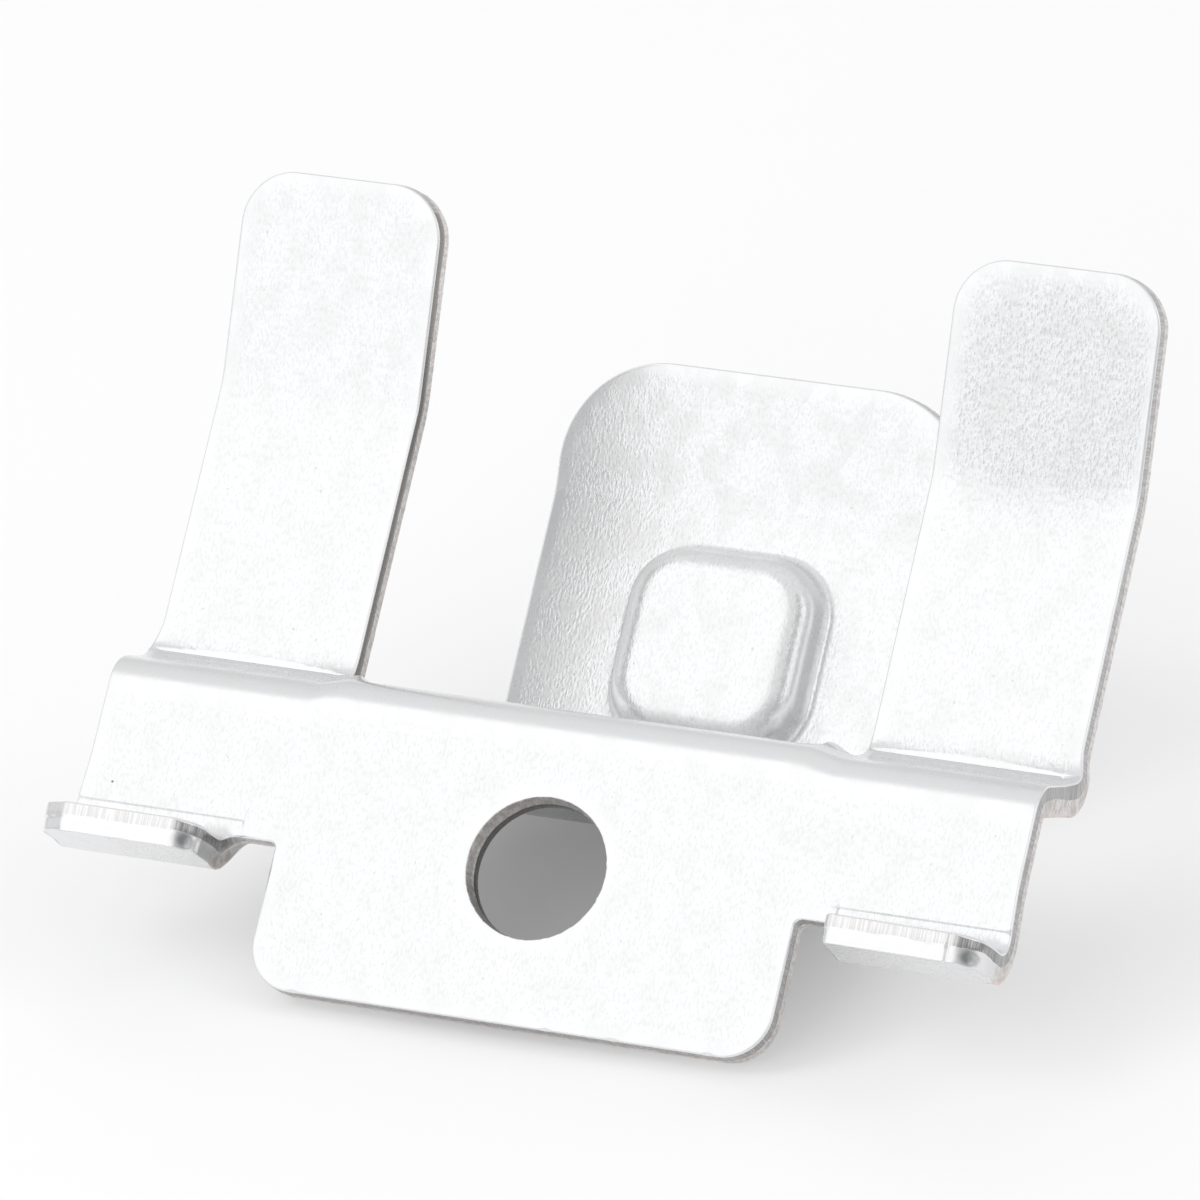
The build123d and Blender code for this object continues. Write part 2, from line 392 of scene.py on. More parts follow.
# Section of a cut edge as (inset, depth below the side the punch came from). The sheet
# rolls over, is cut smooth, then tears with a slight undercut and leaves a burr. The
# blank was cut from its face, the screw hole from its back.
ROLL = [(0.16, 0.0), (0.10, 0.003), (0.06, 0.009), (0.03, 0.022), (0.011, 0.045), (0.002, 0.08)]
SHEARED = [(0.0, 0.13), (0.0, 0.34), (0.002, 0.54)]
TORN = [(0.03, 0.60), (0.045, 0.75), (0.06, 0.92), (0.07, 1.07), (0.085, 1.17)]
BURR = [(0.10, 1.212), (0.15, 1.2), (0.28, 1.2)]
SECTION = ROLL + SHEARED + TORN + BURR
TEAR_LINE = (SHEARED[-1][1], TORN[0][1])     # the two depths that waver where the tear starts
ZINC_DEPTH, TORN_DEPTH = 0.1, 0.56           # where the zinc ends and where the tear starts
ZINC, SHEARED_STEEL, TORN_STEEL = 0, 1, 2
NICKS = [-8.36, 1.79, 4.44, 8.22]            # dents in the plate's lower edge, at x
NICK_HALF, NICK_DEPTH = 0.18, 0.07
NOTCH_HALF, NOTCH_DEPTH = 0.034, 0.035       # line across the right foot's front edge

# The mesh as it is made. For each point: its place on the blank, how far it is worked smooth
# by tools, and shares of painted light and shade on the cut edges: painted light along the
# front of the feet, the feet's round ends, which carry painted shade, and painted shade in
# the screw hole and along the left arm's inner edge.
verts, tris, blank_at, kinds = [], [], [], []
worked, wiped, bare, stained = [], [], [], []


def band(depth):
    """Material of the cut edge at a depth below the side the punch came from."""
    if depth < ZINC_DEPTH or depth >= SHEET:
        return ZINC
    return SHEARED_STEEL if depth < TORN_DEPTH else TORN_STEEL


def inward(loop):
    """Unit inward normal at each point of a rim, mitred at its corners."""
    n, result = len(loop), []
    for i, p in enumerate(loop):
        a, b = p - loop[i - 1], loop[(i + 1) % n] - p
        side = 1j * (a / abs(a) + b / abs(b)) / 2
        result.append(side / max(abs(side) ** 2, 0.3))
    return result


def bend_work(x, s):
    """1 where folding and pressing have smoothed the zinc, 0 where it is as rolled."""
    fold = clip_fold if abs(x) < HALF_TAB else arm_fold
    off = min(max(a - s, s - b) for a, b in fold.bends[:2])
    near_bend = 1 - smooth((off + 0.1) / 0.5)
    if abs(x) > HALF_TAB and s > lens_foot:
        near_bend = float(any(a < x < b and s < lens_top((a, b), x) for a, b in LENSES))
    from_foot = foot_line + 0.3 - s if abs(x) > FOOT_ZONE else -1.0
    return max(near_bend, smooth(from_foot / 0.6))


def add_point(x, s, depth, lift, work):
    """Adds a point of the mesh by its place on the blank and gives its number."""
    verts.append(place(x, s, depth, lift))
    blank_at.append((x, s, depth))
    worked.append(max(work, bend_work(x, s)))
    # Shares for the feet's cut edges: painted light along each straight front, and the round ends,
    # which carry painted shade.
    on_foot = smooth((foot_line - 0.3 - s) / 0.8) if abs(x) > FOOT_ZONE else 0.0
    past = smooth((x - FOOT_CURVE_START[x > 0] - 0.05) / 0.5)
    wiped.append(on_foot * (1 - past))
    bare.append(on_foot * past)
    # Painted shade along the left arm's inner edge in the slot and round the screw hole.
    on_left_arm = (abs(x + HALF_TAB) < 0.4) * smooth((s - slot_s - 0.3) / 0.4)
    stained.append(max(on_left_arm, float(abs(x + 1j * s) < HOLE_RADIUS + 0.4)))
    return len(verts) - 1


def edge_point(x_s, normal, along, rim_number, inset, depth):
    """Point of a cut edge, with the unevenness of the tear and the nicks in the rim."""
    where = Vector((along, rim_number, 0.0))
    if depth in TEAR_LINE:
        depth += 0.07 * noise.noise(where * 0.9) + 0.03 * noise.noise(where * 4.0)
    if TORN_DEPTH < depth < SHEET:
        inset += 0.022 * noise.noise(Vector((along * 3.5, depth * 5.0, 4.0)))
    if depth > SHEET:
        depth += 0.02 * noise.noise(where * 2.0)
    if not rim_number and inset < 0.09 and x_s.imag < foot_line:
        inset += NOTCH_DEPTH * max(0.0, 1 - abs(x_s.real - right_line) / NOTCH_HALF)
    if not rim_number and depth < 0.2:
        at_end = smooth((x_s.real - FOOT_CURVE_START[x_s.real > 0] - 0.1) / 0.5)
        at_end *= smooth((foot_line - x_s.imag) / 0.8) * (abs(x_s.real) > RELIEF_SIDE - 0.3)
        depth *= 1 + 0.9 * at_end
        inset *= 1 + 0.7 * at_end
    if rim_number and depth > 0.9 and inset < 0.2:
        lower_right = max(0.0, (cmath.exp(0.25j * math.pi) * x_s).real / HOLE_RADIUS)
        inset += (0.012 + 0.03 * lower_right) * noise.noise(where * 6.0)
    if not rim_number and x_s.imag < -TAB_DROP + 0.01 and depth < 0.3:
        off = min(abs(x_s.real - nick) for nick in NICKS) / NICK_HALF
        depth += NICK_DEPTH * max(0.0, 1 - off * off) * smooth(1 - inset / ROLL[0][0])
    q = x_s + normal * inset
    if rim_number:
        depth = SHEET - depth
    return add_point(q.real, q.imag, depth, 0.0, 1.0)


rings = []      # for each rim, its rings of point numbers from face to back
for rim_number, rim in enumerate(rims):
    section = SECTION if rim_number == 0 else SECTION[::-1]
    normals, along, run = inward(rim), [], 0.0
    for p, ahead in zip(rim, rim[1:] + rim[:1]):
        along.append(run)
        run += abs(ahead - p)
    rim_rings = [[edge_point(*spot, rim_number, inset, depth) for spot in zip(rim, normals, along)]
                 for inset, depth in section]
    steps = [(ring, depth) for ring, (_, depth) in zip(rim_rings, section)]
    for (a, depth_a), (b, depth_b) in zip(steps, steps[1:]):
        for i in range(len(rim)):
            k = (i + 1) % len(rim)
            tris.append((a[i], b[i], b[k], a[k]))
            kinds.append(band((depth_a + depth_b) / 2))
    rings.append(rim_rings)


def rows(fold, low, high):
    """Heights s at which a strip gets a row of points: close in its bends, wide between."""
    marks = [low, high]
    for a, b in fold.bends:
        cuts = 16 if b - a > 1.2 else 12
        marks += [a + (b - a) * k / cuts for k in range(cuts + 1)]
    marks = sorted(m for m in marks if low <= m <= high)
    full = []
    for a, b in zip(marks, marks[1:]):
        cuts = max(1, math.ceil((b - a) / 0.7))
        full += [a + (b - a) * k / cuts for k in range(cuts)]
    return full + [high]


def column_heights(x):
    """Heights s of the points along one column of the skin."""
    across = abs(x)
    if across <= SWELL_START:
        return rows(clip_fold, -TAB_DROP, clip_top)
    if across < HALF_TAB:
        return rows(stub_fold(across), -TAB_DROP, slot_s)
    heights = rows(arm_fold, RELIEF_TOP, arm_top)
    heights += [lens_foot + CURL_RISE * k / 7 for k in range(1, 8)]
    if across > RELIEF_SIDE:
        heights = rows(foot_fold, foot_s(3.0), RELIEF_TOP) + heights
    return heights


COLUMN_STEP, COLUMN_COUNT = 0.62, 60
RIM_GAP, GUIDE_GAP = 0.24, 0.12              # columns keep this clear of rims and of guides


def nearby(points):
    """Tree that finds the nearest of these places on the blank."""
    tree = kdtree.KDTree(len(points))
    for i, p in enumerate(points):
        tree.insert((p.real, p.imag, 0.0), i)
    tree.balance()
    return tree


def skin(ring_number, profile, profile_inset, depth, guides):
    """One side of the sheet: the blank cut into triangles and folded. It is cut along its
    rims, along loops up the emboss's profile and along guides, with columns of points
    between them."""
    coords, edges, fixed = [], [], []

    def cut_along(points, known, closed):
        """Adds a line of points that the triangles have to follow."""
        base, count = len(coords), len(points)
        coords.extend(Vector((p.real, p.imag)) for p in points)
        fixed.extend(known)
        edges.extend((base + i, base + (i + 1) % count) for i in range(count - (not closed)))

    rim_points = []
    for rim_rings in rings:
        ring = rim_rings[ring_number]
        on_blank = [complex(*blank_at[v][:2]) for v in ring]
        cut_along(on_blank, [(v, 0.0) for v in ring], True)
        rim_points += on_blank
    for p in profile:
        loop = emboss_loop(p.real + profile_inset)
        cut_along(loop, [(None, p.imag)] * len(loop), True)
    for guide in guides:
        cut_along(guide, [(None, 0.0)] * len(guide), False)

    crowded = [(nearby(rim_points), RIM_GAP)]
    if guides:
        crowded.append((nearby([p for guide in guides for p in guide]), GUIDE_GAP))
    outer = EMBOSS_HALF + 0.7
    top_half = EMBOSS_HALF - profile[-1].real - profile_inset - 0.35
    for k in range(COLUMN_COUNT):
        x = -HALF_WIDTH + 0.7 + COLUMN_STEP * k
        for s in column_heights(x):
            off = max(abs(x - EMBOSS_SHIFT), abs(s - EMBOSS_S))
            if (any(tree.find((x, s, 0.0))[2] < gap for tree, gap in crowded)
                    or abs(x + 1j * s) < HOLE_RADIUS + 0.5 or top_half < off < outer):
                continue
            coords.append(Vector((x, s)))
            fixed.append((None, EMBOSS_HEIGHT if off < outer else 0.0))
    points, _, faces, sources, _, _ = geometry.delaunay_2d_cdt(coords, edges, [], 1, 1e-6)
    numbers = {}

    def number(i):
        """Number in the mesh of point i of the triangles."""
        if i not in numbers:
            origin = sources[i][0] if sources[i] else None
            old, lift = fixed[origin] if origin is not None else (None, 0.0)
            if old is None:
                work = smooth(1 - abs(lift - 1.0)) if lift else 0.0
                old = add_point(*points[i], depth, lift, work)
            numbers[i] = old
        return numbers[i]

    for face in faces:
        if all(points[i].length < HOLE_RADIUS + 0.35 for i in face):
            continue
        face = [number(i) for i in face]
        tris.append(tuple(face if depth == 0 else reversed(face)))
        kinds.append(ZINC)


# Guides run on both sides of each tool mark's rim, so that the mark has a crisp edge.
guides = []
for side, sign in ((PAD_SIDE[0], -1), (PAD_SIDE[1], 1)):
    for shift in (-3 * PAD_EDGE, -PAD_EDGE, PAD_EDGE, 3 * PAD_EDGE):
        x0, x1 = sign * (side - shift), sign * (HALF_WIDTH - 0.45)
        s0, s1 = PAD_TOP + shift, RELIEF_TOP + 0.45
        corner = rounded([(x0, s1, 0), (x0, s0, 0.16 + shift), (x1, s0, 0)], 0.15, closed=False)
        guides.append(corner)
for lens in LENSES:
    xs = [lens[0] + 0.3 + (lens[1] - lens[0] - 0.6) * k / 42 for k in range(43)]
    low = lens_foot + PAD_EDGE
    for share in (0.0, 0.2, 0.85, 1.0):
        guides.append([x + 1j * (low + share * (lens_top(lens, x) - low)) for x in xs])
    for shift in (0.05, 0.14):
        guides.append([x + 1j * (lens_top(lens, x) + shift) for x in xs])
    for shift in (-PAD_EDGE, -3 * PAD_EDGE):
        guides.append([x + 1j * (lens_foot + shift) for x in xs])
for line in DIE_LINES:
    count = int((line[1] - line[0] - 1.0) / 0.3)
    xs = [line[0] + 0.5 + 0.3 * k for k in range(count + 1)]
    for share in (-1.0, -0.5, 0.0, 0.5, 1.0):
        guides.append([x + 1j * (die_line_s(line, x) + share * DIE_LINE_HALF) for x in xs])
skin(0, front_profile, 0.0, 0.0, guides)
skin(-1, back_profile, HOLLOW_INSET, SHEET, [])

mesh = bpy.data.meshes.new("bracket_sheet")
mesh.from_pydata(verts, [], tris)
bracket = bpy.data.objects.new("bracket_sheet", mesh)
bpy.context.scene.collection.objects.link(bracket)
for face, kind in zip(mesh.polygons, kinds):
    face.material_index = kind
    face.use_smooth = True
blank_map = mesh.attributes.new("blank_mm", "FLOAT_VECTOR", "POINT")
blank_map.data.foreach_set("vector", [value for where in blank_at for value in where])
for name, values in (("worked", worked), ("wiped", wiped), ("bare", bare), ("stained", stained)):
    mesh.attributes.new(name, "FLOAT", "POINT").data.foreach_set("value", values)


# Finishes. blank_mm holds each point's x, s and depth on the blank in millimetres, so
# grain and streaks run as the sheet was rolled and cut, and fold with it.


def effect(name, inputs, outputs):
    """Empty shader node group with these named sockets, and its two end nodes."""
    group = bpy.data.node_groups.new(name, "ShaderNodeTree")
    for socket, (kind, default) in inputs.items():
        made = group.interface.new_socket(socket, in_out="INPUT", socket_type="NodeSocket" + kind)
        if default is not None:
            made.default_value = default
    for socket, kind in outputs.items():
        group.interface.new_socket(socket, in_out="OUTPUT", socket_type="NodeSocket" + kind)
    return group, group.nodes.new("NodeGroupInput"), group.nodes.new("NodeGroupOutput")


def add_node(tree, kind, settings=None, **inputs):
    """Adds a node. An input is a value, or a socket of another node to link from. An
    underscore stands for a space in an input's name, and _0 is the first input."""
    node = tree.nodes.new("ShaderNode" + kind)
    for key, value in (settings or {}).items():
        setattr(node, key, value)
    for key, value in inputs.items():
        socket = node.inputs[int(key[1:])] if key[0] == "_" else node.inputs[key.replace("_", " ")]
        if isinstance(value, bpy.types.NodeSocket):
            tree.links.new(value, socket)
        else:
            socket.default_value = value
    return node


def maths(tree, operation, *values):
    """Math node on these values or sockets."""
    settings = {"operation": operation}
    return add_node(tree, "Math", settings, **{f"_{i}": v for i, v in enumerate(values)}).outputs[0]


def stretched(tree, where, across, along, through):
    """Coordinates in which a noise of scale 1 has grains of those sizes in millimetres."""
    scale = (1 / across, 1 / along, 1 / through)
    return add_node(tree, "VectorMath", {"operation": "MULTIPLY"}, _0=where, _1=scale).outputs[0]


def grains(tree, where, detail=2.0, rough=0.5, scale=1.0):
    """Noise from 0 to 1."""
    node = add_node(tree, "TexNoise", None, Vector=where, Scale=scale, Detail=detail, Roughness=rough)
    return node.outputs["Fac"]


def ramp(tree, value, low, high, to_low=0.0, to_high=1.0):
    """Eased change from to_low to to_high as the value goes from low to high."""
    node = add_node(tree, "MapRange", {"interpolation_type": "SMOOTHSTEP"}, Value=value,
                    From_Min=low, From_Max=high, To_Min=to_low, To_Max=to_high)
    return node.outputs["Result"]


# Zinc smoothed by the rollers after dipping: short ridges along the strip, and cloudy
# patches where the coating is duller. Pressing irons the ridges out.
IRONED = 0.97                                # share of the ridges that pressing takes away
FINE_SHARE = 0.25                            # how much the finer ridges add to the main ones
zinc_grain, given, made = effect(
    "zinc_grain", {"Blank": ("Vector", None), "Worked": ("Float", 0.0)},
    {"Height": "Float", "Valleys": "Float", "Clouds": "Float", "Specks": "Float"})
on_blank = given.outputs["Blank"]
short_ridges = grains(zinc_grain, stretched(zinc_grain, on_blank, 0.10, 0.23, 0.3))
fine_ridges = grains(zinc_grain, stretched(zinc_grain, on_blank, 0.30, 0.45, 0.5))
clouds = grains(zinc_grain, stretched(zinc_grain, on_blank, 1.1, 1.7, 3.0), 4.0, 0.6)
specks = grains(zinc_grain, stretched(zinc_grain, on_blank, 0.2, 0.3, 0.5), 1.0)
ironed = maths(zinc_grain, "MULTIPLY", given.outputs["Worked"], IRONED)
left_rough = maths(zinc_grain, "SUBTRACT", 1.0, ironed)
ridges = maths(zinc_grain, "MULTIPLY_ADD", fine_ridges, FINE_SHARE, short_ridges)
height = maths(zinc_grain, "MULTIPLY", ridges, left_rough)
valleys = maths(zinc_grain, "MULTIPLY", ramp(zinc_grain, ridges, 0.68, 0.46), left_rough)
specks = maths(zinc_grain, "MULTIPLY", ramp(zinc_grain, specks, 0.73, 0.82), left_rough)
zinc_grain.links.new(height, made.inputs["Height"])
zinc_grain.links.new(valleys, made.inputs["Valleys"])
zinc_grain.links.new(ramp(zinc_grain, clouds, 0.35, 0.68), made.inputs["Clouds"])
zinc_grain.links.new(specks, made.inputs["Specks"])

# A mark at one place on the blank, with a ragged rim: rust, a coarse patch that carries painted
# shade, or a spot of painted shade.
mark, given, made = effect(
    "mark", {"Blank": ("Vector", None), "Place": ("Vector", None), "Radius": ("Float", 0.1),
             "Rim": ("Float", 0.05), "Raggedness": ("Float", 0.1)}, {"Mask": "Float"})
offset = add_node(mark, "VectorMath", {"operation": "DISTANCE"}, _0=given.outputs["Blank"],
                  _1=given.outputs["Place"]).outputs["Value"]
waver = maths(mark, "SUBTRACT", grains(mark, given.outputs["Blank"], 2.0, 0.6, 3.0), 0.5)
edge_of_mark = maths(mark, "MULTIPLY_ADD", waver, given.outputs["Raggedness"], offset)
outside = add_node(mark, "MapRange", {"interpolation_type": "SMOOTHSTEP"}, Value=edge_of_mark,
                   From_Min=given.outputs["Radius"],
                   From_Max=maths(mark, "ADD", given.outputs["Radius"], given.outputs["Rim"]),
                   To_Min=1.0, To_Max=0.0)
mark.links.new(outside.outputs["Result"], made.inputs["Mask"])

# Streaks that the punch or the tear leaves across the thickness of a cut edge, and the
# rust that starts at its burr.
cut_streaks, given, made = effect(
    "cut_streaks", {"Blank": ("Vector", None), "Streak": ("Float", 0.08), "Run": ("Float", 0.8)},
    {"Height": "Float", "Dark": "Float", "Rust": "Float"})
size = add_node(cut_streaks, "CombineXYZ", None, X=given.outputs["Streak"],
                Y=given.outputs["Streak"], Z=given.outputs["Run"]).outputs[0]
in_streaks = add_node(cut_streaks, "VectorMath", {"operation": "DIVIDE"},
                      _0=given.outputs["Blank"], _1=size).outputs[0]
streaks = grains(cut_streaks, in_streaks, 3.0, 0.6)
patches = grains(cut_streaks, stretched(cut_streaks, given.outputs["Blank"], 1.1, 1.1, 0.7), 3.0, 0.6)
depth = add_node(cut_streaks, "SeparateXYZ", None, Vector=given.outputs["Blank"]).outputs["Z"]
towards_burr = ramp(cut_streaks, depth, 1.0, 1.2)
rust = maths(cut_streaks, "MULTIPLY", ramp(cut_streaks, patches, 0.38, 0.62), towards_burr)
cut_streaks.links.new(streaks, made.inputs["Height"])
cut_streaks.links.new(ramp(cut_streaks, streaks, 0.62, 0.38), made.inputs["Dark"])
cut_streaks.links.new(rust, made.inputs["Rust"])


def place_effect(tree, group, **inputs):
    """Puts a group in a material, with a value or a socket for each named input."""
    node = tree.nodes.new("ShaderNodeGroup")
    node.node_tree = group
    for key, value in inputs.items():
        if isinstance(value, bpy.types.NodeSocket):
            tree.links.new(value, node.inputs[key])
        else:
            node.inputs[key].default_value = value
    return node.outputs


def tint(tree, share, under, over):
    """Colour that goes from under to over as share goes from 0 to 1."""
    return add_node(tree, "Mix", {"data_type": "RGBA"}, _0=share, _6=under, _7=over).outputs[2]


def kept(tree, name):
    """One of the values kept at the points of the mesh."""
    return add_node(tree, "Attribute", {"attribute_name": name}).outputs["Fac"]


def new_finish(name):
    """Metal material, its tree and shader, and the place on the blank."""
    material = bpy.data.materials.new(name)
    material.use_nodes = True
    tree = material.node_tree
    shader = tree.nodes["Principled BSDF"]
    shader.inputs["Metallic"].default_value = 1.0
    blank = add_node(tree, "Attribute", {"attribute_name": "blank_mm"}).outputs["Vector"]
    return material, tree, shader, blank


def finish_with(tree, shader, colour, roughness, height, distance):
    """Links colour, roughness and a bump that many metres high to the shader."""
    tree.links.new(colour, shader.inputs["Base Color"])
    tree.links.new(roughness, shader.inputs["Roughness"])
    bump = add_node(tree, "Bump", None, Height=height, Distance=distance)
    tree.links.new(bump.outputs["Normal"], shader.inputs["Normal"])


BRIGHT_ZINC, CLOUDED_ZINC = (0.87, 0.875, 0.88, 1), (0.845, 0.842, 0.825, 1)
# The first colour below is painted shade for the right arm's tip; the second is the grain's valleys.
SHADED_TIP_ZINC, VALLEY_GREY = (0.72, 0.73, 0.73, 1), (0.62, 0.63, 0.62, 1)
# The first colour below is painted shade for the backs of the arms and the clip; the second is the
# zinc's brown specks.
BACK_SHADE_GREY, SPECK_BROWN = (0.60, 0.605, 0.61, 1), (0.52, 0.49, 0.44, 1)
RUST = (0.36, 0.20, 0.12, 1)
RUST_SPOT, RUST_SPOT_RADIUS = (-17.45, 0.95, 0.0), 0.03
# Patch on the right arm's tip: coarser grain, and a darker colour as painted shade.
COARSE_SHADED_PATCH, COARSE_SHADED_RADIUS, COARSE_SHADED_RIM = (14.6, 23.5, 0.0), 3.2, 2.4     # on the right arm's tip


def zinc_face():
    """Hot-dip zinc, bright and fine grained, smoother where the tools pressed it. It is
    painted greyer behind the arms and the clip, as painted shade, and on the right arm's tip
    it is coarser, with painted shade darkening it."""
    material, tree, shader, blank = new_finish("zinc_face")
    grain = place_effect(tree, zinc_grain, Blank=blank, Worked=kept(tree, "worked"))
    coarse_and_shaded = place_effect(tree, mark, Blank=blank, Place=COARSE_SHADED_PATCH, Radius=COARSE_SHADED_RADIUS,
                        Rim=COARSE_SHADED_RIM, Raggedness=2.0)["Mask"]
    colour = tint(tree, maths(tree, "MULTIPLY", grain["Clouds"], 0.4), BRIGHT_ZINC, CLOUDED_ZINC)
    # Painted shade on the right arm's tip: the patch darkens the grain's valleys and the colour.
    dark_share = maths(tree, "MULTIPLY_ADD", coarse_and_shaded, 0.40, 0.25)
    colour = tint(tree, maths(tree, "MULTIPLY", grain["Valleys"], dark_share), colour, VALLEY_GREY)
    colour = tint(tree, maths(tree, "MULTIPLY", coarse_and_shaded, 0.35), colour, SHADED_TIP_ZINC)
    colour = tint(tree, maths(tree, "MULTIPLY", grain["Specks"], 0.5), colour, SPECK_BROWN)
    spot_on_blank = add_node(tree, "SeparateXYZ", None, Vector=blank).outputs
    # Painted shade: the back of the sheet above the web, behind the arms and the clip, is greyed.
    back_shade = maths(tree, "MULTIPLY", ramp(tree, spot_on_blank["Z"], 0.6, 1.0),
                    ramp(tree, spot_on_blank["Y"], 7.0, 9.0))
    colour = tint(tree, back_shade, colour, BACK_SHADE_GREY)
    rust_spot = place_effect(tree, mark, Blank=blank, Place=RUST_SPOT, Radius=RUST_SPOT_RADIUS,
                             Rim=0.04, Raggedness=0.05)["Mask"]
    colour = tint(tree, rust_spot, colour, RUST)
    roughness = ramp(tree, grain["Clouds"], 0.0, 1.0, 0.24, 0.31)
    height = maths(tree, "MULTIPLY", grain["Height"], maths(tree, "MULTIPLY_ADD", coarse_and_shaded, 1.2, 1.0))
    finish_with(tree, shader, colour, roughness, height, 1.6e-5)
    return material


# Each steel has a colour for its streaks' ridges and one for the dark between them.
CUT_STEEL = (0.50, 0.495, 0.495, 1), (0.37, 0.36, 0.355, 1)
# Painted light: a lit copy of the cut steel for the front of the feet.
LIT_FRONT_STEEL = (0.87, 0.87, 0.865, 1), (0.74, 0.73, 0.72, 1)
# Painted shade: a darker copy of the cut steel for the feet's round ends.
ROUND_END_SHADE_STEEL = (0.46, 0.46, 0.455, 1), (0.27, 0.265, 0.26, 1)
# Painted shade for the screw hole's wall and the left arm's inner edge.
RECESS_SHADE = (0.22, 0.205, 0.195, 1)


def sheared_steel():
    """Steel cut smooth by the punch, with fine streaks across the edge. It is painted bright
    along the front of the feet, as painted light, and darker on their round ends, as painted
    shade. Painted shade darkens it in the screw hole and along the left arm's inner edge."""
    material, tree, shader, blank = new_finish("sheared_steel")
    cut = place_effect(tree, cut_streaks, Blank=blank, Streak=0.07, Run=2.0)
    colour = tint(tree, cut["Dark"], *CUT_STEEL)
    # Painted light on the feet's fronts, painted shade on their round ends.
    colour = tint(tree, kept(tree, "wiped"), colour, tint(tree, cut["Dark"], *LIT_FRONT_STEEL))
    colour = tint(tree, kept(tree, "bare"), colour, tint(tree, cut["Dark"], *ROUND_END_SHADE_STEEL))
    # Painted shade in the screw hole and along the left arm's inner edge.
    colour = tint(tree, kept(tree, "stained"), colour, RECESS_SHADE)
    roughness = ramp(tree, cut["Dark"], 0.0, 1.0, 0.20, 0.28)
    finish_with(tree, shader, colour, roughness, cut["Height"], 1.0e-5)
    return material


ROUGH_STEEL = (0.79, 0.775, 0.76, 1), (0.60, 0.565, 0.54, 1)
RUSTED_STEEL = (0.90, 0.74, 0.68, 1)
# Painted light along the feet's front edges, then the even grey of their round ends.
LIT_FRONT_TEAR, ROUND_END_TEAR = (0.87, 0.87, 0.87, 1), (0.80, 0.80, 0.81, 1)
# Painted shade on the feet's round ends, and where its spots lie.
ROUND_END_SHADE = (0.26, 0.265, 0.26, 1)
ROUND_END_SHADE_SPOTS = [(-12.96, foot_s(2.60), 0.84), (18.10, foot_s(2.38), 0.86)]   # on the round ends


def torn_steel():
    """Steel where the sheet tore: paler and matt, rusted towards the burr. On the feet it is
    smooth; along their front it is painted bright, as painted light, and on their round ends
    it is an even pale grey with a spot of painted shade on each."""
    material, tree, shader, blank = new_finish("torn_steel")
    lit_front_share, round_end_share = kept(tree, "wiped"), kept(tree, "bare")
    raw = maths(tree, "SUBTRACT", 1.0, maths(tree, "MAXIMUM", lit_front_share, round_end_share))
    cut = place_effect(tree, cut_streaks, Blank=blank, Streak=0.14, Run=0.35)
    colour = tint(tree, cut["Dark"], *ROUGH_STEEL)
    colour = tint(tree, cut["Rust"], colour, RUSTED_STEEL)
    # Painted light along the feet's fronts; an even grey on their round ends.
    colour = tint(tree, lit_front_share, colour, LIT_FRONT_TEAR)
    colour = tint(tree, round_end_share, colour, ROUND_END_TEAR)
    # Spots of painted shade on the feet's round ends.
    for where in ROUND_END_SHADE_SPOTS:
        shade_spot = place_effect(tree, mark, Blank=blank, Place=where, Radius=0.08, Rim=0.42,
                             Raggedness=0.12)["Mask"]
        colour = tint(tree, shade_spot, colour, ROUND_END_SHADE)
    roughness = ramp(tree, raw, 0.0, 1.0, 0.22, 0.42)
    finish_with(tree, shader, colour, roughness, maths(tree, "MULTIPLY", cut["Height"], raw), 2.0e-5)
    return material


for finish in (zinc_face, sheared_steel, torn_steel):
    mesh.materials.append(finish())
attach(bracket, "root")
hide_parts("bracket")

# ---- floor -------------------------------------------------------------------
# White paper, lit by the studio. The camera and mirrored rays see it paler than it
# lights the bracket, so that it reads as white and still holds the shadow; under the
# bracket the added paleness is less, a painted shadow on the paper.
PAPER = (0.45, 0.45, 0.453, 1)
PALENESS, PALENESS_IN_PAINTED_SHADOW = 0.38, 0.17
# Where the painted shadow under the bracket lies, and how far it reaches before it fades out.
PAINTED_SHADOW_AT, PAINTED_SHADOW_RADIUS, PAINTED_SHADOW_EDGE = (-0.001, -0.003, 0.0), 0.0055, 0.015
bpy.ops.mesh.primitive_plane_add(size=3.0, location=(0, 0, 0))
floor = bpy.context.object
floor.name = "floor"
paper = bpy.data.materials.new("white_paper")
paper.use_nodes = True
tree = paper.node_tree
tree.nodes.remove(tree.nodes["Principled BSDF"])
lit_paper = add_node(tree, "BsdfDiffuse", None, Color=PAPER)
seen = add_node(tree, "LightPath")
seen_share = maths(tree, "MAXIMUM", seen.outputs["Is Camera Ray"], seen.outputs["Is Glossy Ray"])
# Painted shadow: less added paleness near a point under the bracket.
from_painted_shadow = add_node(tree, "VectorMath", {"operation": "DISTANCE"}, _1=PAINTED_SHADOW_AT,
                       _0=add_node(tree, "TexCoord").outputs["Object"]).outputs["Value"]
paleness = ramp(tree, from_painted_shadow, PAINTED_SHADOW_RADIUS, PAINTED_SHADOW_EDGE, PALENESS_IN_PAINTED_SHADOW, PALENESS)
glow = add_node(tree, "Emission", None, Color=(1, 1, 1, 1),
                Strength=maths(tree, "MULTIPLY", seen_share, paleness))
both = add_node(tree, "AddShader", None, _0=lit_paper.outputs[0], _1=glow.outputs[0])
tree.links.new(both.outputs[0], tree.nodes["Material Output"].inputs["Surface"])
floor.data.materials.append(paper)

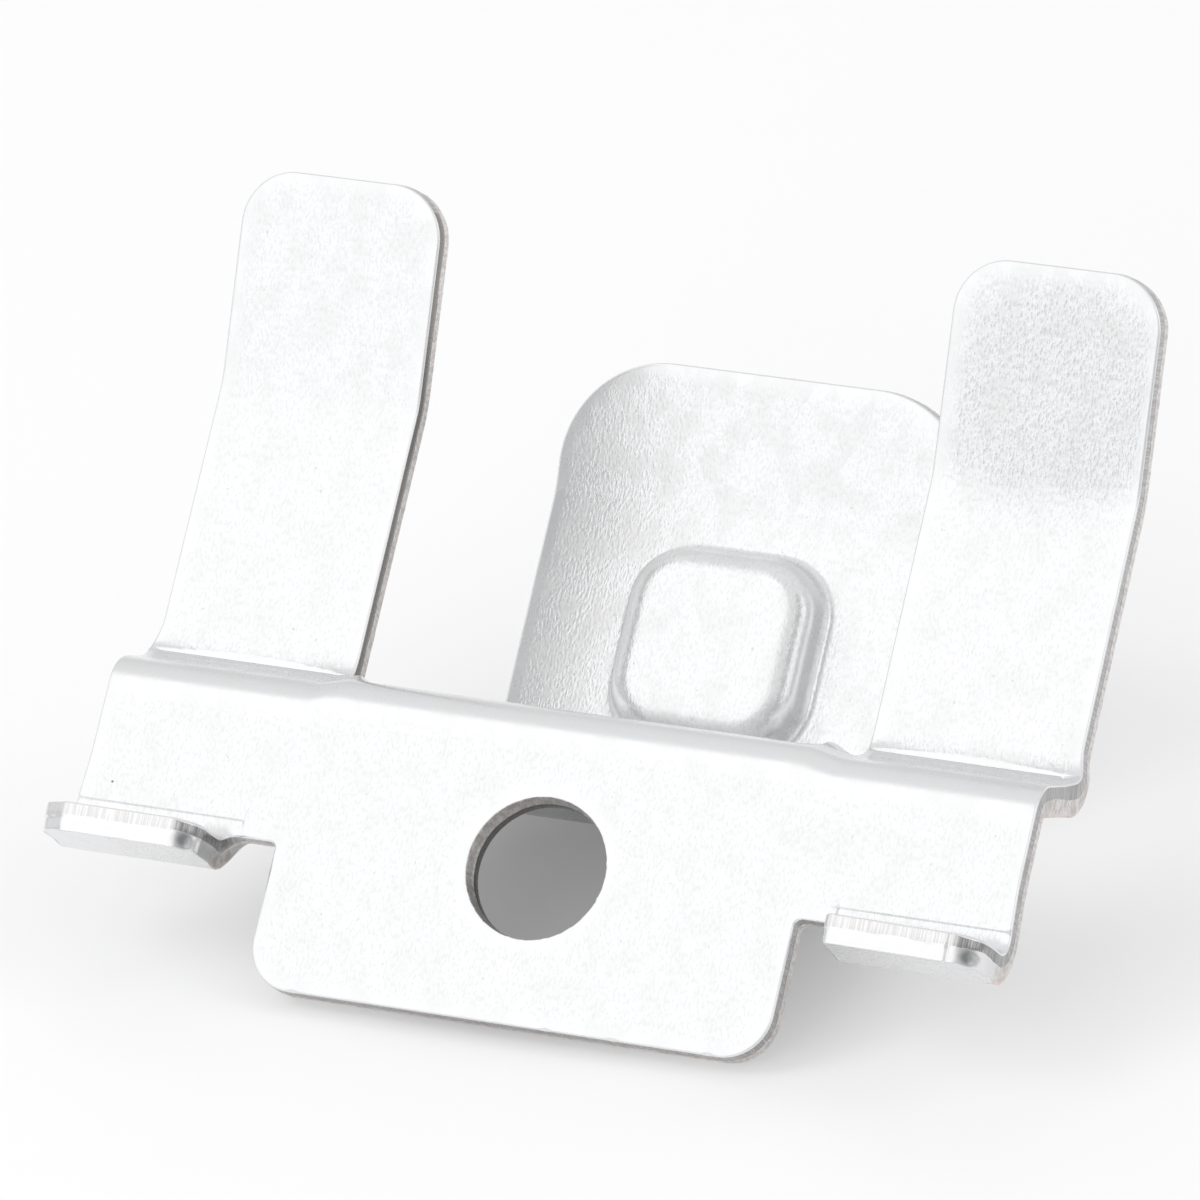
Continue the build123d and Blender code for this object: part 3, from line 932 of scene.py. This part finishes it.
# ---- light -------------------------------------------------------------------
# A pale studio, dimmer near the horizon than overhead, with a white backdrop low behind
# the bracket. Softboxes are what its faces and edges mirror; lamps that the metal
# doesn't mirror light the paper and soften the shadow.
WALL_LOW, WALL_HIGH = (0.56, 0.565, 0.575, 1), (0.85, 0.85, 0.86, 1)
BACKDROP = (0.90, 0.90, 0.905, 1)
world = bpy.data.worlds.new("studio")
bpy.context.scene.world = world
world.use_nodes = True
tree = world.node_tree
direction = add_node(tree, "SeparateXYZ", None,
                     Vector=add_node(tree, "TexCoord").outputs["Generated"]).outputs
walls = tint(tree, ramp(tree, direction["Z"], -0.1, 1.0), WALL_LOW, WALL_HIGH)
behind = ramp(tree, direction["Y"], 0.2, 0.9)
backdrop = maths(tree, "MULTIPLY", behind, ramp(tree, direction["Z"], 0.15, 0.5, 1.0, 0.0))
around = tint(tree, backdrop, walls, BACKDROP)
tree.links.new(around, tree.nodes["Background"].inputs["Color"])


def softbox(name, azimuth, elevation, distance, width, height, radiance):
    """Rectangular softbox seen from the bracket towards that azimuth (left of front) and
    elevation. radiance is what it adds to the wall behind it, where 1 is white."""
    a, e = math.radians(azimuth), math.radians(elevation)
    towards = Vector((-math.sin(a) * math.cos(e), -math.cos(a) * math.cos(e), math.sin(e)))
    lamp = bpy.data.lights.new(name, "AREA")
    lamp.shape = "RECTANGLE"
    lamp.size, lamp.size_y = width, height
    lamp.energy = radiance * math.pi * width * height
    box = bpy.data.objects.new(name, lamp)
    bpy.context.scene.collection.objects.link(box)
    box.location = towards * distance
    box.rotation_mode = "QUATERNION"
    box.rotation_quaternion = (-towards).to_track_quat("-Z", "Y")
    return box


softbox("key_softbox", 39.0, 37.0, 0.50, 0.66, 0.60, 0.37)      # mirrored in plate and arms
softbox("low_softbox", 20.0, 20.0, 0.60, 0.40, 0.26, 0.14)      # in the leaning tips
softbox("left_softbox", 93.0, 17.0, 0.60, 0.30, 0.26, 0.20)     # in edges that face left
softbox("side_softbox", -78.0, 32.0, 0.60, 0.44, 0.40, 0.50)    # in edges that face right

PAPER_LAMP_SIDE, PAPER_LAMP_DISTANCE = 0.30, 0.60
PAPER_LAMPS = [(52.0, 42.0, 3.8), (10.0, 26.0, 3.2), (157.0, 38.0, 2.0), (-127.0, 48.0, 1.3)]
for k, (azimuth, elevation, radiance) in enumerate(PAPER_LAMPS):
    paper_lamp = softbox(f"paper_lamp_{k}", azimuth, elevation, PAPER_LAMP_DISTANCE,
                         PAPER_LAMP_SIDE, PAPER_LAMP_SIDE, radiance)
    paper_lamp.data.specular_factor = 0.0
    paper_lamp.visible_glossy = False

# ---- camera ------------------------------------------------------------------
# Long lens, a little above the bracket and to the right of its front.
AIM, DISTANCE = Vector((-0.0014044, -0.0008064, 0.0116086)), 0.4371551
AZIMUTH, ELEVATION, TILT = math.radians(23.589), math.radians(24.339), math.radians(2.408)
SENSOR_WIDTH, FOCAL_LENGTH = 36, 350.486
towards = Vector((math.sin(AZIMUTH) * math.cos(ELEVATION),
                  -math.cos(AZIMUTH) * math.cos(ELEVATION), math.sin(ELEVATION)))
camera_data = bpy.data.cameras.new("camera")
camera_data.sensor_width = SENSOR_WIDTH
camera_data.lens = FOCAL_LENGTH
camera_data.clip_start = 0.01
camera_data.clip_end = 10
camera = bpy.data.objects.new("camera", camera_data)
bpy.context.scene.collection.objects.link(camera)
camera.location = AIM + towards * DISTANCE
camera.rotation_mode = "QUATERNION"
camera.rotation_quaternion = ((-towards).to_track_quat("-Z", "Y")
                              @ Quaternion((0, 0, 1), -TILT))
bpy.context.scene.camera = camera

bpy.context.scene.view_settings.view_transform = "Standard"
